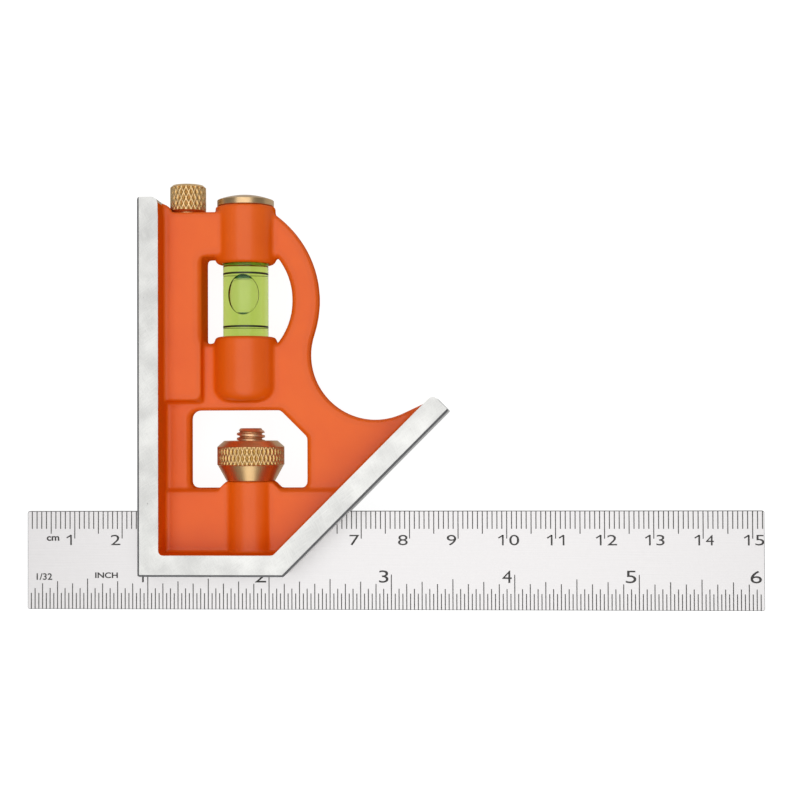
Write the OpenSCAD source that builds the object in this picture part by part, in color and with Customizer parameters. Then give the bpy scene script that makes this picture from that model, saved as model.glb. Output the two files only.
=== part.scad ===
// Combination square: a cast head that slides and locks on a graduated steel rule.
// The square lies on its side: X runs along the rule, Y points up the square face,
// and Z is the thickness, with the back of the milled rims on the bench at Z = 0.
// The origin is the outer corner between the square face and the bottom edge of the head.

/* [Head] */
// Height of the square face
head_h = 77.1; // [74:0.1:80]
// Length of the bottom edge, from the square face to the mitre face
foot_w = 29.7; // [28.5:0.1:31]
// Length of the mitre face along its slope
mitre_len = 47.3; // [45:0.1:49]
// Thickness of the head across its milled rims
head_t = 19; // [17:0.1:21]
// Width of the milled rim along the square face and the bottom edge
rim_w = 4.3; // [3.8:0.1:4.8]
// Width of the milled rim along the mitre face
mitre_rim_w = 4.5; // [4:0.1:5]
// Bevel on the outer edges of the rims
rim_bevel = 0.45; // [0.2:0.05:0.7]
// Casting draft on the inner walls of the rims, measured at mid-thickness
rim_draft = 0.3; // [0.1:0.05:0.6]
// Rounding of the inner corners between the rims
recess_r = 0.9; // [0.5:0.1:1.5]

/* [Web, block and pad] */
// Thickness of the thin web between the rims
web_t = 4.2; // [3.8:0.1:4.8]
// Thickness of the lower block that holds the rule slot
block_t = 6; // [5.6:0.1:6.6]
// Height of the lower block above the bottom edge
block_h = 17.6; // [16.8:0.1:18.4]
// Thickness of the scriber pad
pad_t = 9; // [8:0.1:9.8]
// Distance from the square face to the free side of the scriber pad
pad_w = 12.2; // [11.8:0.1:12.6]
// Height of the foot of the scriber pad above the bottom edge
pad_foot_y = 35.9; // [35:0.1:37]
// Height of the top of the scriber pad above the bottom edge
pad_top_y = 74.6; // [74:0.1:75.2]
// Draft on the sides of the block and the pad
pad_draft = 0.7; // [0.3:0.1:1]
// Rounding of the edges round the two windows
edge_round = 0.8; // [0.4:0.1:1]
// Rounding of the outer edges of the web, along the arch and the hollow curve
web_round = 0.8; // [0.4:0.1:1.2]
// Radius of the shoulder between the rim of the square face and the top of the pad
shoulder_r = 2.6; // [2.2:0.1:2.8]

/* [Arch] */
// Radius of the convex arch outside the vial window
arch_r = 22.1; // [21.6:0.1:22.6]
// Distance from the square face to the centre of the arch
arch_x = 14.1; // [13.6:0.1:14.6]
// Radius of the hollow curve between the arch and the mitre tip
waist_r = 13.5; // [13:0.1:14]
// Angle of the line from the centre of the arch to the centre of the hollow curve
waist_angle = -18.6; // [-20:0.1:-17]

/* [Rule] */
// Length of the steel rule
rule_len = 152.4; // [145:0.1:160]
// Width of the steel rule
rule_w = 20.4; // [19:0.1:21]
// Thickness of the steel rule
rule_t = 1.2; // [1:0.05:1.4]
// Distance from the zero end of the rule to the square face as it lies
rule_out = 25.2; // [20:0.1:40]
// Height of the seat at the top of the rule slot
seat_y = 12.8; // [12.4:0.1:13.2]
// Clearance on each side of the rule in its slot
slot_gap = 0.15; // [0.1:0.01:0.25]
// Width of the clamping groove in the back of the rule
groove_w = 3; // [2.6:0.1:3.4]
// Depth of the clamping groove
groove_d = 0.6; // [0.4:0.05:0.7]

/* [Clamp] */
// Distance from the clamp axis to the corner between the bottom edge and the mitre face
clamp_in = 7.9; // [7.4:0.1:8.4]
// Outer radius of the clamp boss
clamp_boss_r = 5.15; // [5:0.05:5.4]
// Rise of the clamp boss above the lower block
clamp_boss_rise = 1.5; // [1.2:0.1:2]
// Radius of the bolt's shoulder and leg
bolt_body_r = 4; // [3.8:0.05:4.1]
// Outer radius of the bolt's threaded stem
stem_r = 2.95; // [2.7:0.05:3.05]
// Length of the bolt's stem above the seat of the nut
stem_rise = 10.9; // [10:0.1:12.5]
// Largest radius of the clamp nut, over its knurl
nut_r = 6.95; // [6.6:0.05:7.2]
// Radius of the foot of the clamp nut
nut_foot_r = 5.1; // [4.6:0.05:5.1]
// Height of the clamp nut
nut_h = 8.3; // [7.8:0.1:9]
// Height of the knurled band of the clamp nut
nut_band_h = 3.7; // [3:0.1:4]
// Wire thickness of the clamp spring
spring_wire = 0.6; // [0.5:0.05:0.7]
// Clearance of the bolt in its bores
clamp_gap = 0.08; // [0.05:0.01:0.1]
// Room for the bolt to drop when the nut is let off
bolt_travel = 1.2; // [1.1:0.05:1.3]

/* [Clamp window] */
// Width of the window round the clamp nut
window_w = 24.3; // [23.6:0.1:25]
// Height of the window round the clamp nut
window_h = 16.1; // [15.6:0.1:16.5]
// Distance from the left side of the window to the clamp axis
window_left = 12.4; // [12:0.1:12.8]
// Size of the slanted corner of the window
window_slant = 5.6; // [5:0.1:6.2]

/* [Vial] */
// Distance from the square face to the axis of the spirit vial
vial_x = 20.8; // [20.4:0.1:21.2]
// Height of the middle of the vial above the bottom edge
vial_y = 56.5; // [56:0.1:57]
// Outer radius of the vial's tube
vial_r = 4.7; // [4.4:0.05:4.9]
// Wall of the vial's tube
vial_wall = 1.1; // [0.9:0.05:1.3]
// Length of the vial's tube
vial_len = 34; // [32:0.1:36]
// Distance between the two ring marks
ring_gap = 11; // [9:0.1:12]
// Width of a ring mark
ring_w = 0.32; // [0.25:0.01:0.45]
// Radius of the upper vial boss
boss_r = 6.25; // [6.1:0.05:6.5]
// Depth of the cap's spigot, from the top of the upper vial boss to the vial
cap_reach = 2.6; // [2.2:0.1:3]
// Radius of the lower vial boss
low_boss_r = 6.45; // [6.2:0.05:6.6]
// Length of the lower vial boss below the vial window
low_boss_len = 12.1; // [11.5:0.1:12.5]
// Height of the vial window
vial_window_h = 17.8; // [17:0.1:18.6]
// Radius of the round side of the vial window
crescent_r = 14.3; // [13.9:0.1:14.5]
// Distance from the square face to the centre of that round side
crescent_x = 16.4; // [16:0.1:16.8]
// Radius of the vial's cap
cap_r = 5.9; // [5.5:0.05:6]
// Height of the cylindrical band of the cap
cap_h = 1.7; // [1.3:0.1:2]
// Rise of the cap's dome
cap_dome = 0.75; // [0.5:0.05:1]

/* [Scriber] */
// Distance from the square face to the scriber axis
scriber_x = 8.7; // [8.5:0.1:9]
// Radius of the scriber's knob
knob_r = 3.72; // [3.5:0.05:3.85]
// Height of the scriber's knob
knob_h = 5.9; // [5.4:0.1:6.6]
// Radius of the scriber's needle
needle_r = 1.1; // [0.9:0.05:1.2]
// Length of the needle below the knob
needle_len = 36; // [33:0.1:36.5]
// Length of the ground point of the needle
point_len = 7; // [4:0.1:9]
// Outer radius of the friction bush
bush_r = 2.2; // [2:0.05:2.4]
// Length of the friction bush
bush_len = 10; // [8:0.1:14]

/* [Hidden] */
$fn = 96;
mid_z = head_t / 2;

// How far joined pieces reach into each other, and how far a cut runs past a face
eps = 0.02;
lap = 0.2;
root = 1;
over = 1;

// Corners of the rims, and the plain end of the mitre rim
foot_corner_r = 0.5;
top_corner_r = 0.6;
top_inner_r = 1.5;
tip_corner_r = 0.3;
tip_inner_r = 1.2;
tip_run = 3;
tip_back = 1.4;
recess_x = foot_w + rim_w - mitre_rim_w * sqrt(2);

// Pad, block and windows
pad_corner_r = 1.7;
window_bottom = block_h;
window_top = window_bottom + window_h;
window_foot_r = 1.3;
window_slant_r = 0.8;
window_top_r = 1.75;
vial_window_r = 1.2;
flare_in = 0.15;

// Rule slot
slot_t = rule_t + 2 * slot_gap;
rule_corner_r = 0.8;
groove_y = seat_y - rule_w / 2;

// Clamp: the tongue and the collar both leave the bolt room to drop
clamp_x = foot_w - clamp_in;
nut_seat_y = block_h + clamp_boss_rise;
flare_h = clamp_boss_rise - 0.4;
bolt_bore_r = bolt_body_r + clamp_gap;
stem_bore_r = stem_r + clamp_gap;
bore_roof = 1.5;
shoulder_y = nut_seat_y - bore_roof;
tongue_h = groove_w - bolt_travel;
tongue_top_y = groove_y + groove_w / 2;
collar_h = 0.9;
collar_y = seat_y + bolt_travel;
collar_top_y = collar_y + collar_h;
leg_foot_y = 1.6;
leg_gap = 0.1;
stem_chamfer = 0.8;
thread_gap = 0.05;
nut_chamfer_h = 1.25;
nut_chamfer_w = 1.4;
nut_edge = 0.12;
bore_chamfer = 0.4;

// Vial and its bosses
vial_gap = 0.06;
vial_bottom_y = vial_y - vial_len / 2;
vial_top_y = vial_y + vial_len / 2;
vial_floor = 1.5;
vial_inner_r = vial_r - vial_wall;
plug_len = 4;
plug_gap = 0.02;
liquid_gap = 0.04;
ring_depth = 0.12;
ring_clear = 0.01;
boss_reach = 1.35;
boss_top_y = vial_top_y + cap_reach;
boss_foot_chamfer = 0.6;
boss_top_chamfer = 0.25;
low_boss_top_chamfer = 0.5;
low_boss_foot_r = 3;
low_boss_foot_y = vial_y - vial_window_h / 2 - low_boss_len;

// Scriber
bush_rim = 0.3;
bush_flange = 0.6;
knob_y = pad_top_y + bush_rim;
knob_seat = 1.5;
knob_foot_edge = 0.3;
knob_chamfer = 0.55;
knob_crown = 0.12;
spot_gap = 0.3;
scriber_gap = 0.05;
needle_room = 0.2;
point_r = 0.12;

// Arch, hollow curve and the end of the web at the tip of the mitre rim
arch_centre = [arch_x, vial_y];
waist_line = [cos(waist_angle), sin(waist_angle)];
waist_centre = arch_centre + (arch_r + waist_r) * waist_line;
arch_end = arch_centre + arch_r * waist_line;
arch_top_angle = 60;
waist_trim = 0.6;
web_tip = on_mitre(mitre_len - tip_back, mitre_rim_w - lap);
web_touch = touch_point(web_tip, waist_centre, waist_r);

// A point given along the mitre face from its foot, and inwards from it
function on_mitre(along, inward) = [foot_w, 0] + along * [cos(45), sin(45)] + inward * [-sin(45), cos(45)];
function unit(v) = v / norm(v);
// The two ends and the centre of the arc that rounds corner q between its neighbours p and s
function half_angle(p, q, s) = acos(unit(p - q) * unit(s - q)) / 2;
function arc_ends(p, q, s, r) =
    let (back = r / tan(half_angle(p, q, s)))
    [q + back * unit(p - q), q + back * unit(s - q)];
function arc_centre(p, q, s, r) = q + r / sin(half_angle(p, q, s)) * unit(unit(p - q) + unit(s - q));
// The point where a line from p touches the circle round c with radius r, on its lower side
function touch_point(p, c, r) =
    let (d = norm(c - p))
    let (turn = atan2(c[1] - p[1], c[0] - p[0]) + asin(r / d))
    p + sqrt(d * d - r * r) * [cos(turn), sin(turn)];

// A convex outline with a radius for each corner
module rounded(points, radii) {
    n = len(points);
    polygon([for (i = [0 : n - 1])
        each arc_ends(points[(i + n - 1) % n], points[i], points[(i + 1) % n], radii[i])]);
    for (i = [0 : n - 1])
        if (radii[i] > 0)
            translate(arc_centre(points[(i + n - 1) % n], points[i], points[(i + 1) % n], radii[i]))
                circle(r = radii[i]);
}

// A fillet of radius r that fills the corner q between its neighbours p and s
module corner_fillet(p, q, s, r) {
    difference() {
        polygon(concat([q - lap * unit(unit(p - q) + unit(s - q))], arc_ends(p, q, s, r)));
        translate(arc_centre(p, q, s, r))
            circle(r = r);
    }
}

// A plate of thickness t, centred on mid-thickness
module plate(t) {
    translate([0, 0, mid_z - t / 2])
        linear_extrude(t)
            children();
}

// Turns a profile of radius and height about an axis along Y through (x, mid-thickness)
module turned(x, y) {
    translate([x, y, mid_z])
        rotate([-90, 0, 0])
            rotate_extrude()
                children();
}

// A rod along Y
module rod(x, y, r, h) {
    translate([x, y, mid_z])
        rotate([-90, 0, 0])
            cylinder(r = r, h = h);
}

// Outline of the milled rims: square face, bottom edge and mitre face
module rim_outline() {
    rounded([[0, 0], [rim_w, 0], [rim_w, head_h], [0, head_h]],
        [foot_corner_r, 0, top_inner_r, top_corner_r]);
    polygon([[rim_w / 2, 0], [foot_w, 0], [foot_w, rim_w], [rim_w / 2, rim_w]]);
    rounded([[foot_w, 0], on_mitre(mitre_len, 0), on_mitre(mitre_len, mitre_rim_w),
        on_mitre(-mitre_rim_w, mitre_rim_w)], [0, tip_corner_r, tip_inner_r, 0]);
    corner_fillet([rim_w, head_h], [rim_w, rim_w], [recess_x, rim_w], recess_r);
    corner_fillet([rim_w, rim_w], [recess_x, rim_w], on_mitre(mitre_len, mitre_rim_w), recess_r);
}

// The wedge of draft that thickens a rim towards mid-thickness, along X from 0 to length
module draft_wedge(length, w) {
    rotate([90, 0, 90])
        linear_extrude(length)
            polygon([[w - root, 0], [w, 0], [w + rim_draft, mid_z], [w, head_t], [w - root, head_t]]);
}

module rims() {
    linear_extrude(head_t)
        rim_outline();
    translate([rim_w / 2, 0, 0])
        draft_wedge(foot_w - rim_w, rim_w);
    mirror([1, -1, 0])
        translate([rim_w / 2, 0, 0])
            draft_wedge(pad_top_y - root - rim_w / 2, rim_w);
    translate([foot_w, 0, 0])
        rotate([0, 0, 45])
            draft_wedge(mitre_len - tip_run, mitre_rim_w);
}

// A square bar centred on an outer edge of the rims, which cuts the bevel there
module bevel_bar(length) {
    rotate([90, 45, 90])
        translate([0, 0, -rim_bevel])
            linear_extrude(length + 2 * rim_bevel)
                square(rim_bevel * sqrt(2), center = true);
}

module outer_bevels() {
    for (z = [0, head_t]) {
        translate([0, 0, z])
            bevel_bar(foot_w);
        translate([0, 0, z])
            mirror([1, -1, 0])
                bevel_bar(head_h);
        translate([foot_w, 0, z])
            rotate([0, 0, 45])
                bevel_bar(mitre_len);
    }
}

// Outline of the web, from the rims to the arch and the hollow curve below it
module web_outline() {
    difference() {
        union() {
            polygon([[rim_w / 2, rim_w / 2], [foot_w, rim_w / 2],
                on_mitre(mitre_len - tip_back, mitre_rim_w / 2), web_tip, web_touch, waist_centre, arch_end,
                arch_centre, [arch_x, pad_top_y], [rim_w / 2, pad_top_y]]);
            intersection() {
                translate(arch_centre)
                    circle(r = arch_r);
                translate([rim_w, vial_y - arch_r])
                    square([arch_x + arch_r, pad_top_y - vial_y + arch_r]);
            }
        }
        translate(waist_centre)
            circle(r = waist_r);
    }
}

// The corner that a rounded edge of the web takes away, with the web below and to the left
module edge_profile() {
    translate([-web_round, -web_round])
        difference() {
            square(web_round + lap);
            circle(r = web_round);
        }
}

// Repeats a cut made for the front face of the web at its back face
module both_faces() {
    for (flip = [0, 1])
        translate([0, 0, mid_z])
            mirror([0, 0, flip])
                translate([0, 0, web_t / 2])
                    children();
}

// Rounds the edge of the web along an arc, between two directions from the arc's centre
module round_arc(centre, r, hollow, from, to) {
    steps = 4;
    reach = r + root + web_round;
    sector = [for (i = [0 : steps]) let (a = from + (to - from) * i / steps)
        reach / cos((to - from) / steps / 2) * [cos(a), sin(a)]];
    translate([centre[0], centre[1], 0])
        both_faces()
            intersection() {
                rotate_extrude()
                    translate([r, 0])
                        mirror([hollow, 0, 0])
                            edge_profile();
                translate([0, 0, -head_t / 2])
                    linear_extrude(head_t)
                        polygon(concat([[0, 0]], sector));
            }
}

// The rounded outer edges of the web. The hollow curve's rounding stops a little short of its
// neighbours, because three round cuts that end on one line leave gaps in the solid's mesh
module web_edges() {
    line = web_tip - web_touch;
    touch = web_touch - waist_centre;
    from = 180 + waist_angle + waist_trim;
    to = 360 + atan2(touch[1], touch[0]) - waist_trim;
    round_arc(arch_centre, arch_r, 0, waist_angle, arch_top_angle);
    round_arc(waist_centre, waist_r, 1, from, to);
    translate([web_touch[0], web_touch[1], 0])
        both_faces()
            rotate([0, 0, atan2(line[1], line[0])])
                rotate([90, 0, 90])
                    linear_extrude(norm(line))
                        edge_profile();
}

module web() {
    difference() {
        plate(web_t)
            web_outline();
        web_edges();
    }
}

// Outline of the window round the clamp nut, with one slanted corner
module clamp_window_outline() {
    left = clamp_x - window_left;
    right = left + window_w;
    rounded([[left, window_bottom], [right, window_bottom], [right, window_top - window_slant],
        [right - window_slant, window_top], [left, window_top]],
        [window_foot_r, window_foot_r, window_slant_r, window_slant_r, window_top_r]);
}

// Outline of the window across the vial, with one round side
module vial_window_outline() {
    low = vial_y - vial_window_h / 2;
    high = vial_y + vial_window_h / 2;
    intersection() {
        translate([crescent_x, vial_y])
            circle(r = crescent_r);
        rounded([[pad_w, low], [crescent_x + crescent_r, low], [crescent_x + crescent_r, high],
            [pad_w, high]], [vial_window_r, 0, 0, vial_window_r]);
    }
}

// A window cut: straight through, and flared at both faces of a plate of thickness t
module window_cut(t) {
    linear_extrude(head_t)
        children();
    for (side = [-1, 1])
        translate([0, 0, mid_z + side * t / 2])
            mirror([0, 0, side < 0 ? 1 : 0])
                hull() {
                    translate([0, 0, -edge_round])
                        linear_extrude(eps)
                            offset(delta = -flare_in, $fn = 32)
                                children();
                    linear_extrude(head_t)
                        offset(r = edge_round, $fn = 32)
                            children();
                }
}

// The block that holds the slot for the rule, with its upper edge drafted towards both faces
module lower_block() {
    left = rim_w - root;
    right = foot_w + block_h - mitre_rim_w;
    edge = block_h - pad_draft;
    intersection() {
        linear_extrude(head_t)
            polygon([[left, left], [foot_w, left], [right, block_h], [left, block_h]]);
        translate([left, 0, mid_z])
            rotate([90, 0, 90])
                linear_extrude(right - left)
                    polygon([[left, -block_t / 2], [edge, -block_t / 2], [block_h, -web_t / 2],
                        [block_h, web_t / 2], [edge, block_t / 2], [left, block_t / 2]]);
    }
}

// The pad that holds the scriber, and its step across to the upper vial boss
module scriber_pad() {
    step_y = vial_y + vial_window_h / 2;
    left = rim_w - root;
    foot = [[left, pad_foot_y], [pad_w, pad_foot_y], [pad_w, pad_top_y], [left, pad_top_y]];
    step = [[rim_w, step_y], [vial_x, step_y], [vial_x, pad_top_y], [rim_w, pad_top_y]];
    hull() {
        plate(web_t)
            offset(delta = pad_draft)
                polygon(foot - [[0, 0], [pad_draft, 0], [pad_draft, pad_draft], [0, pad_draft]]);
        plate(pad_t)
            rounded(foot, [0, pad_corner_r, 0, 0]);
    }
    plate(pad_t)
        polygon(step);
}

// The shoulder beside the scriber, rounded over from the rim to the top of the pad
module pad_shoulder() {
    drop = 0.7;
    plate(pad_t)
        translate([rim_w - drop, pad_top_y - drop])
            circle(r = shoulder_r);
}

// The two bosses that carry the vial, and the boss that guides the clamp bolt
module upper_boss() {
    foot_y = vial_y + vial_window_h / 2 - boss_reach;
    height = boss_top_y - foot_y;
    turned(vial_x, foot_y)
        polygon([[0, 0], [boss_r - boss_foot_chamfer, 0], [boss_r, boss_foot_chamfer],
            [boss_r, height - boss_top_chamfer], [boss_r - boss_top_chamfer, height], [0, height]]);
}

module lower_boss() {
    top_y = vial_y - vial_window_h / 2 + boss_reach;
    height = top_y - low_boss_foot_y;
    chamfer = low_boss_top_chamfer;
    turned(vial_x, low_boss_foot_y)
        difference() {
            polygon([[0, 0], [low_boss_r, 0], [low_boss_r, height - chamfer],
                [low_boss_r - chamfer, height], [0, height]]);
            translate([low_boss_r - low_boss_foot_r, 0])
                difference() {
                    translate([0, -over])
                        square([low_boss_foot_r + over, low_boss_foot_r + over]);
                    translate([0, low_boss_foot_r])
                        circle(r = low_boss_foot_r);
                }
        }
}

module clamp_boss() {
    rod(clamp_x, rim_w / 2, clamp_boss_r, nut_seat_y - rim_w / 2);
    half = clamp_boss_r - lap;
    rise = flare_h + lap;
    plate(block_t)
        translate([clamp_x, block_h])
            polygon([[-half - rise, -pad_draft], [half + rise, -pad_draft], [half + rise, 0], [half, rise],
                [-half, rise], [-half - rise, 0]]);
}

// The bores and the rule slot
module head_bores() {
    translate([-over, -over, mid_z - slot_t / 2])
        cube([foot_w + mitre_len, seat_y + over, slot_t]);
    rod(clamp_x, -over, bolt_bore_r, shoulder_y + over);
    rod(clamp_x, 0, stem_bore_r, nut_seat_y + over);
    rod(vial_x, vial_bottom_y, vial_r + vial_gap, head_h);
    rod(scriber_x, pad_top_y - bush_len, bush_r, bush_len + over);
    rod(scriber_x, pad_top_y, knob_r + spot_gap, knob_h);
    rod(scriber_x, knob_y - needle_len - over, needle_r + needle_room, needle_len);
}

module head() {
    color("#e66e37")
        difference() {
            union() {
                rims();
                difference() {
                    web();
                    window_cut(web_t)
                        clamp_window_outline();
                    window_cut(web_t)
                        vial_window_outline();
                }
                difference() {
                    scriber_pad();
                    window_cut(pad_t)
                        vial_window_outline();
                }
                lower_block();
                pad_shoulder();
                upper_boss();
                lower_boss();
                clamp_boss();
            }
            head_bores();
            outer_bevels();
        }
}

// The steel rule, with its clamping groove down the back
module rule() {
    corners = [for (i = [1 : 4]) rule_corner_r];
    color("#e4e2e2")
        translate([-rule_out, seat_y - rule_w, mid_z - rule_t / 2])
            difference() {
                linear_extrude(rule_t)
                    rounded([[0, 0], [rule_len, 0], [rule_len, rule_w], [0, rule_w]], corners);
                translate([-over, (rule_w - groove_w) / 2, -over])
                    cube([rule_len + 2 * over, groove_w, groove_d + over]);
            }
}

// The bolt: a threaded stem, a round collar over the rule, and a half-round leg behind it
// with a tongue that hooks into the groove and draws the rule up to its seat
module clamp_bolt() {
    leg_top_z = mid_z - rule_t / 2 - leg_gap;
    leg_h = collar_y + collar_h / 2 - leg_foot_y;
    stem_h = nut_seat_y + stem_rise - collar_y;
    color("#b98a4e")
        union() {
            turned(clamp_x, collar_y)
                polygon([[0, 0], [bolt_body_r, 0], [bolt_body_r, collar_h], [stem_r, collar_h],
                    [stem_r, stem_h - stem_chamfer], [stem_r - stem_chamfer, stem_h], [0, stem_h]]);
            intersection() {
                rod(clamp_x, leg_foot_y, bolt_body_r, leg_h);
                cube([foot_w * 2, head_h, leg_top_z]);
            }
            intersection() {
                rod(clamp_x, tongue_top_y - tongue_h, bolt_body_r, tongue_h);
                translate([0, 0, leg_top_z - root])
                    cube([foot_w * 2, head_h, groove_d + root]);
            }
        }
}

// The coil spring that pushes the bolt clear of the rule when the nut is let off, with as
// many half turns as fit between the collar and the roof of the bore
module clamp_spring() {
    steps = 24;
    sides = 8;
    spacing = 1.3;
    coil_r = (stem_r + bolt_bore_r) / 2;
    length = shoulder_y - collar_top_y - spring_wire - 2 * eps;
    turns = max(1, floor(2 * length / (spacing * spring_wire)) / 2);
    last = turns * steps;
    near = [for (k = [0 : sides - 1]) k];
    around = [for (k = [0 : sides - 1]) spring_wire / 2 * [cos(k * 360 / sides), sin(k * 360 / sides)]];
    ring = [for (i = [0 : last]) let (a = i * 360 / steps) for (w = around)
        [(coil_r + w[0]) * cos(a), (coil_r + w[0]) * sin(a), length * i / last + w[1]]];
    walls = [for (i = [0 : last - 1]) for (k = near) let (n = (k + 1) % sides) let (at = i * sides)
        [at + k, at + n, at + sides + n, at + sides + k]];
    foot_end = [for (k = near) sides - 1 - k];
    head_end = [for (k = near) last * sides + k];
    color("#c8c8c8")
        translate([clamp_x, collar_top_y + spring_wire / 2 + eps, mid_z])
            rotate([-90, 0, 0])
                polyhedron(ring, concat([foot_end], walls, [head_end]));
}

// The knurled clamp nut: cone below, knurled band, chamfer above
module clamp_nut() {
    band_top = nut_h - nut_chamfer_h;
    band_foot = band_top - nut_band_h;
    bore = stem_r + thread_gap;
    mouth = bore + bore_chamfer;
    color("#c8a560")
        turned(clamp_x, nut_seat_y)
            polygon([[mouth, 0], [nut_foot_r, 0], [nut_r - nut_edge, band_foot - nut_edge],
                [nut_r, band_foot], [nut_r, band_top], [nut_r - nut_chamfer_w, nut_h], [mouth, nut_h],
                [bore, nut_h - bore_chamfer], [bore, bore_chamfer]]);
}

// The bush that grips the scriber, pressed into the pad with its rim standing proud
module scriber_bush() {
    bore = needle_r + scriber_gap;
    flange = bush_r + bush_flange;
    color("#c8a560")
        turned(scriber_x, pad_top_y - bush_len)
            polygon([[bore, 0], [bush_r, 0], [bush_r, bush_len], [flange, bush_len],
                [flange, bush_len + bush_rim], [bore, bush_len + bush_rim]]);
}

module scriber_knob() {
    seat = knob_h - knob_seat;
    color("#c8a560")
        turned(scriber_x, knob_y)
            polygon([[needle_r, 0], [knob_r - knob_foot_edge, 0], [knob_r, knob_foot_edge],
                [knob_r, knob_h - knob_chamfer], [knob_r - knob_chamfer, knob_h - knob_crown],
                [0, knob_h], [0, seat], [needle_r, seat]]);
}

module scriber_needle() {
    length = needle_len + knob_h - knob_seat;
    color("#b8b8b8")
        turned(scriber_x, knob_y - needle_len)
            polygon([[0, 0], [point_r, 0], [needle_r, point_len], [needle_r, length], [0, length]]);
}

// The clear tube of the spirit vial, closed at its lower end
module vial_tube() {
    color("#dff0c8", 0.4)
        turned(vial_x, vial_bottom_y)
            difference() {
                square([vial_r, vial_len]);
                translate([0, vial_floor])
                    square([vial_inner_r, vial_len]);
                for (side = [-1, 1])
                    translate([vial_r - ring_depth, vial_len / 2 + side * ring_gap / 2 - ring_w / 2])
                        square([over, ring_w]);
            }
}

// A ring mark set into its groove round the tube
module ring_mark(side) {
    color("#202020")
        turned(vial_x, vial_y + side * ring_gap / 2 - ring_w / 2)
            translate([vial_r - ring_depth + ring_clear, 0])
                square([ring_depth - ring_clear, ring_w]);
}

// The plug that closes the tube under the cap
module vial_plug() {
    color("#dff0c8")
        rod(vial_x, vial_top_y - plug_len, vial_inner_r - plug_gap, plug_len);
}

// The tinted liquid, with the hollow of the bubble against the upper wall of the tube
module vial_liquid() {
    bubble_r = 2.95;
    bubble_half = 4.2;
    bubble_rise = 1.1;
    skin = 0.08;
    liquid_r = vial_inner_r - liquid_gap;
    color("#b4c846", 0.7)
        difference() {
            rod(vial_x, vial_bottom_y + vial_floor, liquid_r, vial_len - vial_floor - plug_len);
            translate([0, 0, liquid_r - bubble_r - skin])
                turned(vial_x, vial_y + bubble_rise)
                    polygon([for (a = [-90 : 15 : 90]) [bubble_r * cos(a), bubble_half * sin(a)]]);
        }
}

// The cap that closes the bore of the vial, with a low dome
module vial_cap() {
    dome_r = (cap_r * cap_r + cap_dome * cap_dome) / (2 * cap_dome);
    color("#be9c6e")
        turned(vial_x, vial_top_y)
            union() {
                square([vial_r, cap_reach + eps]);
                translate([0, cap_reach])
                    square([cap_r, cap_h]);
                intersection() {
                    translate([0, cap_reach + cap_h + cap_dome - dome_r])
                        circle(r = dome_r);
                    translate([0, cap_reach + cap_h - eps])
                        square([cap_r, cap_dome + over]);
                }
            }
}

head();
rule();
clamp_bolt();
clamp_spring();
clamp_nut();
scriber_bush();
scriber_knob();
scriber_needle();
vial_tube();
vial_liquid();
vial_plug();
ring_mark(1);  // vial_ring_upper
ring_mark(-1);  // vial_ring_lower
vial_cap();
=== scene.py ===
# %% [markdown]
# # A combination square, dressed on its CAD frame
# The real tool is a cast head that slides along a graduated steel rule. The casting is
# painted orange, and its rims are milled bare after painting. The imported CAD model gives
# every place and size here, so this script only adds the looks: rounded painted edges,
# knurls, a thread, scale marks, a spirit vial and the finish of each metal.
# The square lies on its back: X runs along the rule, Y up the square face, Z to the camera.

import math

import bmesh
import bpy
from mathutils import Matrix, Vector


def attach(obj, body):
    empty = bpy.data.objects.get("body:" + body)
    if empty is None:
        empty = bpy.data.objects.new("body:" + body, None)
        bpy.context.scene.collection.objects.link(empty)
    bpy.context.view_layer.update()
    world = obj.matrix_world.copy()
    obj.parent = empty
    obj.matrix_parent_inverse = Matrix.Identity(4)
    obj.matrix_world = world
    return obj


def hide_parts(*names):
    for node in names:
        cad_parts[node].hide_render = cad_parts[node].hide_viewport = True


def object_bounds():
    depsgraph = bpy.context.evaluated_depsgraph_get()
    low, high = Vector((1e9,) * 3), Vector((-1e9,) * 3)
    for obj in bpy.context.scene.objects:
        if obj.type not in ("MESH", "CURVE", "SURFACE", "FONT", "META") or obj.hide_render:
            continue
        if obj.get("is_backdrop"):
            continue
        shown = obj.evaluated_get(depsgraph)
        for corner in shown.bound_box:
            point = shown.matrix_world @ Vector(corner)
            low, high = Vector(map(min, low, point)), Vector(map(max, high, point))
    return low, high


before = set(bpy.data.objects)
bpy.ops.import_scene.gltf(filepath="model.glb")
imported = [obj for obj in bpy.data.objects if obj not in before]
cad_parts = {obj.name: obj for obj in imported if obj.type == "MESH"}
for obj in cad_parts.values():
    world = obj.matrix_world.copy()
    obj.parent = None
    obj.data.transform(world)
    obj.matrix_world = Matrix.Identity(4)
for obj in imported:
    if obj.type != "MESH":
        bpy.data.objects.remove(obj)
CAD_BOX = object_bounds()
MM = 0.001
print("CAD nodes:", ", ".join(sorted(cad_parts)))

# %% [markdown]
# ## The camera
# A photograph of a flat tool is taken from straight above. The places of the scale marks
# and of both ends of the rule in it give the lens and the small tilts. They are set as
# three turns after one another, because that is how they were worked out.

# %% Place the camera
LENS = 65.41
CAMERA_AT = Vector((68.9, 30.8, 310.1)) * MM
YAW, PITCH, ROLL = -3.046, -0.936, 0.224

into_camera = Matrix.Identity(3)
for angle, axis in ((YAW, "Y"), (PITCH, "X"), (ROLL, "Z")):
    into_camera = Matrix.Rotation(math.radians(angle), 3, axis) @ into_camera
lens = bpy.data.cameras.new("camera")
lens.lens = LENS
lens.sensor_width = 36
lens.clip_start = 0.01
lens.clip_end = 20
camera = bpy.data.objects.new("camera", lens)
camera.matrix_world = Matrix.Translation(CAMERA_AT) @ into_camera.transposed().to_4x4()
bpy.context.scene.collection.objects.link(camera)
bpy.context.scene.camera = camera
print("camera", round(CAMERA_AT.z / MM), "mm above the bench")

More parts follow.
